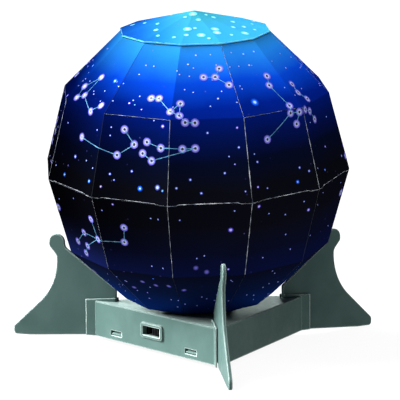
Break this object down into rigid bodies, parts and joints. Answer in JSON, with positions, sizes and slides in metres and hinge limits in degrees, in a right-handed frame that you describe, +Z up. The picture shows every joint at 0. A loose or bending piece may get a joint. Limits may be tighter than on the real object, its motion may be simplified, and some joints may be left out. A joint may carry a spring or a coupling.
{
  "type": "planetarium projector",
  "caption": "Faceted star dome of folded card that leans and turns over a central lamp, on a moulded base with upright legs, a slide switch and a battery door.",
  "frame": {"origin": "middle of the base, on the round pad under its plate, level with the flats of its three feet", "axes": "+Z up, front leg towards -Y, the switch on the side between the front and left legs"},
  "size_m": [0.249, 0.2389, 0.221],
  "materials": {
    "base_plastic": "satin moulded, grey-green",
    "black_plastic": "satin",
    "plated_steel": "zinc plated",
    "brass": "bright",
    "cell_wrap": "printed sleeve on a steel can",
    "wire_red": "gloss",
    "wire_black": "gloss",
    "clear_glass": "clear",
    "filament": "dull",
    "sky_card": "printed, satin coated",
    "sky_card_bright": "printed, satin coated",
    "dark_card": "printed, satin coated"
  },
  "bodies": {
    "base": {"base_housing": "base_plastic", "base_plate": "base_plastic", "cell_front": "cell_wrap", "cell_rear": "cell_wrap", "contact_bridge": "plated_steel", "contact_negative": "plated_steel", "contact_positive": "plated_steel", "lamp_cap": "brass", "lamp_filament": "filament", "lamp_glass": "clear_glass", "lamp_plate": "base_plastic", "lamp_plate_screws": "plated_steel", "lamp_post": "base_plastic", "lamp_socket": "brass", "leg_front": "base_plastic", "leg_left": "base_plastic", "leg_right": "base_plastic", "plate_screws": "plated_steel", "socket_insulator": "black_plastic", "switch_body": "black_plastic", "switch_plate": "black_plastic", "switch_terminals": "brass", "wire_cells_lamp": "wire_black", "wire_cells_switch": "wire_red", "wire_switch_lamp": "wire_red"},
    "switch": {"switch_knob": "black_plastic"},
    "door": {"battery_door": "base_plastic", "door_screw": "plated_steel"},
    "turntable": {"turntable_ring": "base_plastic"},
    "dome": {"dome_bottom_panel": "dark_card", "dome_gore_1": "sky_card", "dome_gore_2": "sky_card", "dome_gore_3": "sky_card", "dome_gore_4": "sky_card", "dome_gore_5": "sky_card", "dome_gore_6": "sky_card", "dome_lower_strip_01": "sky_card", "dome_lower_strip_02": "sky_card", "dome_lower_strip_03": "sky_card", "dome_lower_strip_04": "sky_card", "dome_lower_strip_05": "sky_card", "dome_lower_strip_06": "sky_card", "dome_lower_strip_07": "sky_card", "dome_lower_strip_08": "sky_card", "dome_lower_strip_09": "sky_card", "dome_lower_strip_10": "sky_card", "dome_lower_strip_11": "sky_card", "dome_lower_strip_12": "sky_card", "dome_side_panel_1": "sky_card", "dome_side_panel_2": "sky_card", "dome_side_panel_3": "sky_card", "dome_side_panel_4": "sky_card", "dome_side_panel_5": "sky_card", "dome_side_panel_6": "sky_card", "dome_top_cap": "sky_card_bright"}
  },
  "joints": [
    {"name": "switch_slide", "type": "slide", "parent": "base", "child": "switch", "axis": [-0.5, 0.866, 0], "range_m": [0, 0.006]},
    {"name": "battery_door", "type": "slide", "parent": "base", "child": "door", "axis": [0, 0, -1], "range_m": [0, 0.015]},
    {"name": "dome_turn", "type": "hinge", "parent": "base", "child": "turntable", "pos_m": [-0.00493, 0, 0.1215], "axis": [-0.0242, -0.172, 0.9848], "continuous": true},
    {"name": "dome_lift", "type": "slide", "parent": "turntable", "child": "dome", "axis": [-0.0242, -0.172, 0.9848], "range_m": [0, 0.13]}
  ]
}
